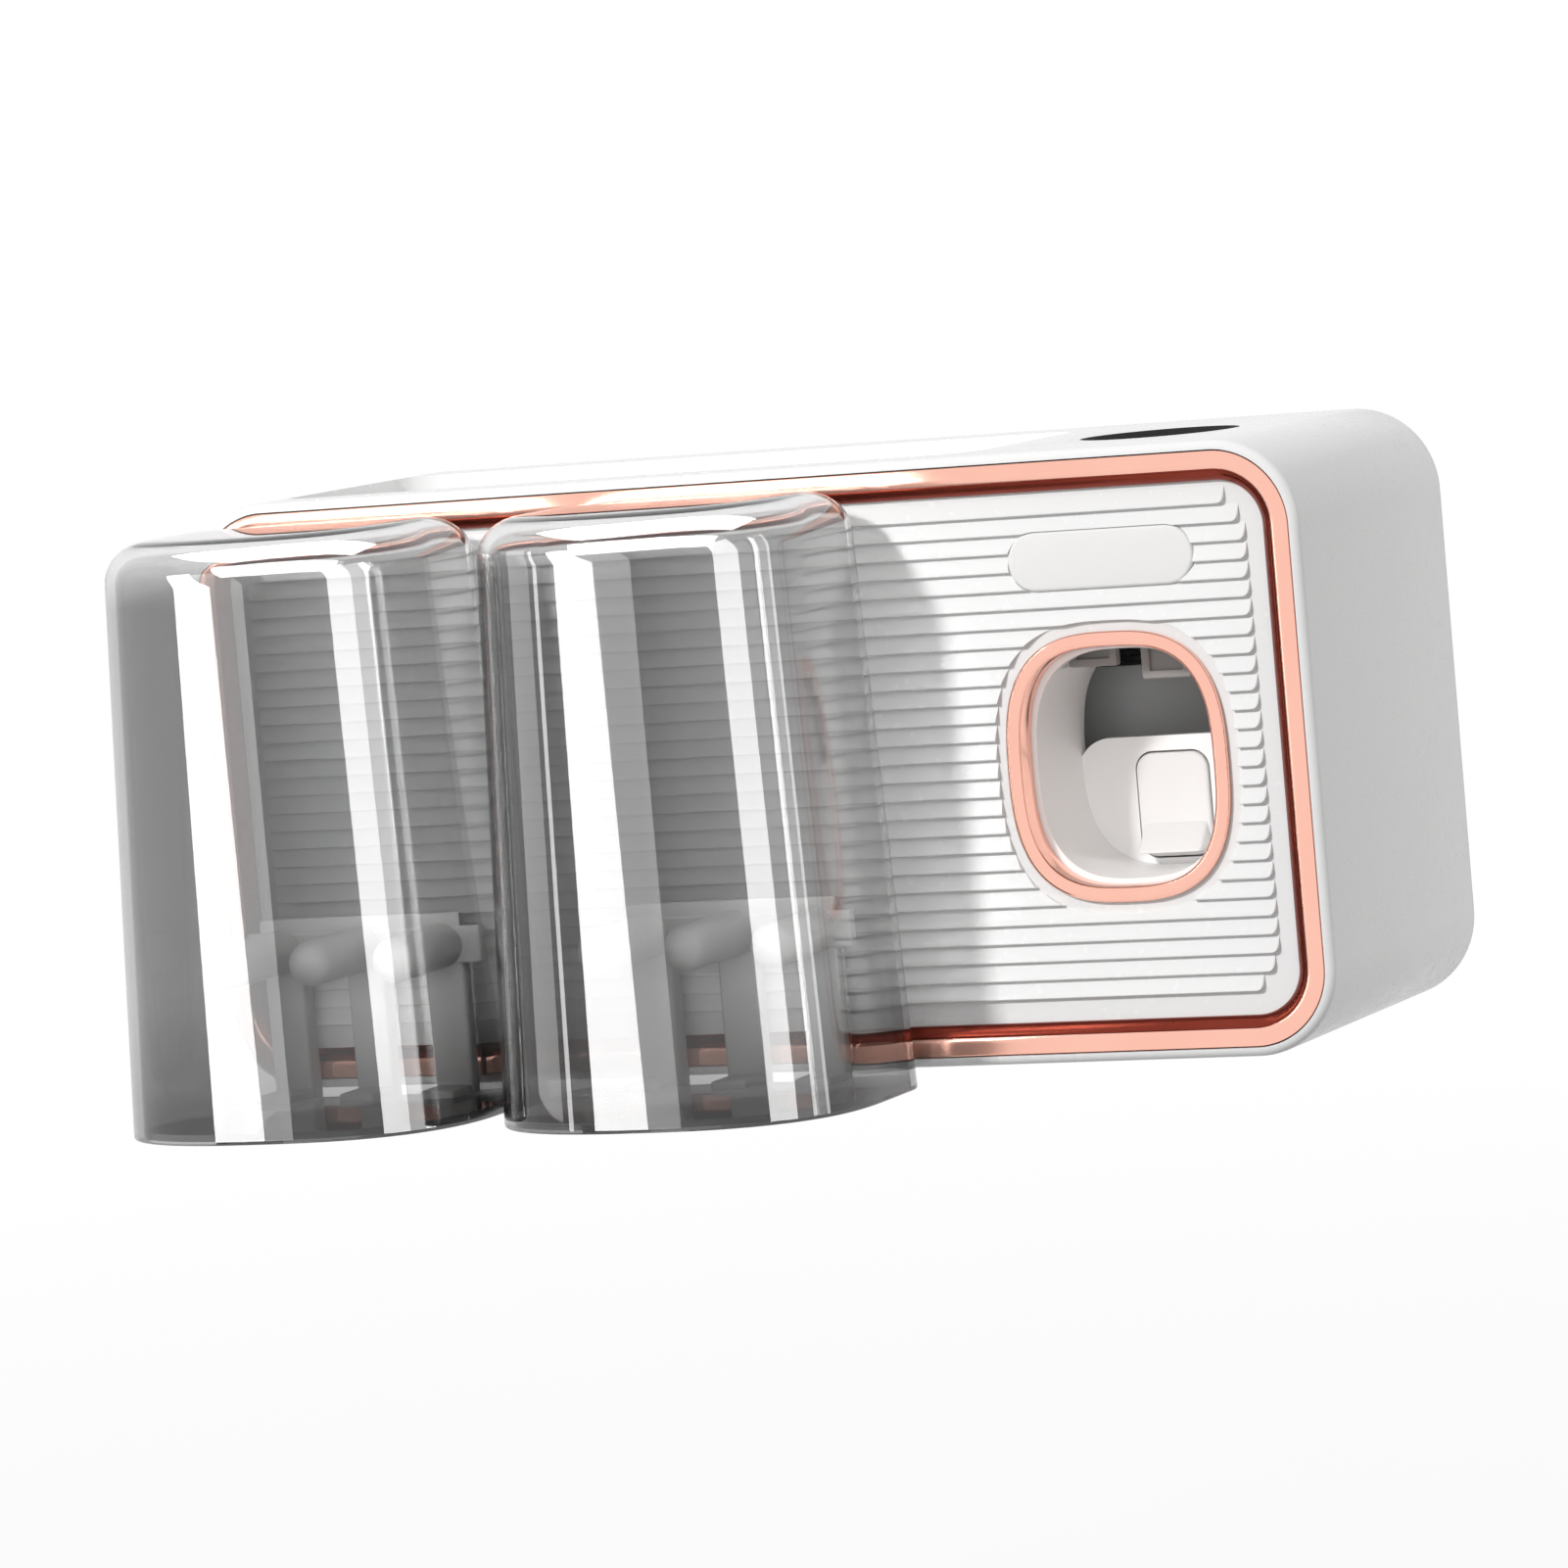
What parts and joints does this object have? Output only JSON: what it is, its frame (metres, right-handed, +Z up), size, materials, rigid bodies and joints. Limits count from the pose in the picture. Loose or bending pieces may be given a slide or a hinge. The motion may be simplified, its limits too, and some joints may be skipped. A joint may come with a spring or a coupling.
{
  "type": "toothpaste dispenser",
  "caption": "Wall-hung box with a ribbed front, a framed oval window over a spring-loaded piston pump for toothpaste, brush racks and clear lift-off rinsing cups hung upside down.",
  "frame": {"origin": "middle of the flat back of the adhesive pad, on the wall, at half the box's height", "axes": "+X towards the window's end (the viewer's right), +Y into the wall, +Z up; the front faces -Y"},
  "size_m": [0.2608, 0.1584, 0.1311],
  "materials": {
    "white_abs": "glossy moulded ABS",
    "white_liner": "satin moulded ABS",
    "rose_gold_plating": "rose-gold metal plating on ABS",
    "clear_plastic": "clear polished SAN plastic",
    "grey_plastic": "fine matt grey plastic",
    "soft_silicone": "soft translucent silicone",
    "steel": "bright stainless steel",
    "foam_tape": "closed-cell foam tape"
  },
  "bodies": {
    "body": {"adhesive_pad": "foam_tape", "wall_hanger": "steel", "rear_cover": "white_abs", "cover_screw_1": "steel", "cover_screw_2": "steel", "cover_screw_3": "steel", "cover_screw_4": "steel", "housing": "white_abs", "trim_frame": "rose_gold_plating", "front_panel": "white_abs", "badge_plate": "white_abs", "window_trim": "rose_gold_plating", "squeezer_trough": "white_liner", "guide_lug_left": "white_liner", "guide_lug_right": "white_liner", "pump_cylinder": "grey_plastic", "pump_screw_left": "steel", "pump_screw_right": "steel", "pump_head": "grey_plastic", "inlet_valve": "soft_silicone", "outlet_valve": "soft_silicone", "nozzle": "white_liner", "tube_seat": "soft_silicone", "rack_left": "grey_plastic", "rack_left_screw_a": "steel", "rack_left_screw_b": "steel", "rack_right": "grey_plastic", "rack_right_screw_a": "steel", "rack_right_screw_b": "steel", "return_spring": "steel"},
    "pad": {"push_pad": "white_liner", "pump_rod": "steel", "piston": "grey_plastic", "piston_seal": "soft_silicone"},
    "cup_left": {"cup_left": "clear_plastic"},
    "cup_right": {"cup_right": "clear_plastic"}
  },
  "joints": [
    {"name": "pad_push", "type": "slide", "parent": "body", "child": "pad", "axis": [0, 1, 0], "range_m": [0, 0.009], "stiffness_N_per_m": 600, "springref_m": -0.006, "deforming": ["return_spring"]},
    {"name": "cup_left_lift", "type": "slide", "parent": "body", "child": "cup_left", "axis": [0, 0, 1], "range_m": [0, 0.13]},
    {"name": "cup_right_lift", "type": "slide", "parent": "body", "child": "cup_right", "axis": [0, 0, 1], "range_m": [0, 0.13]}
  ]
}
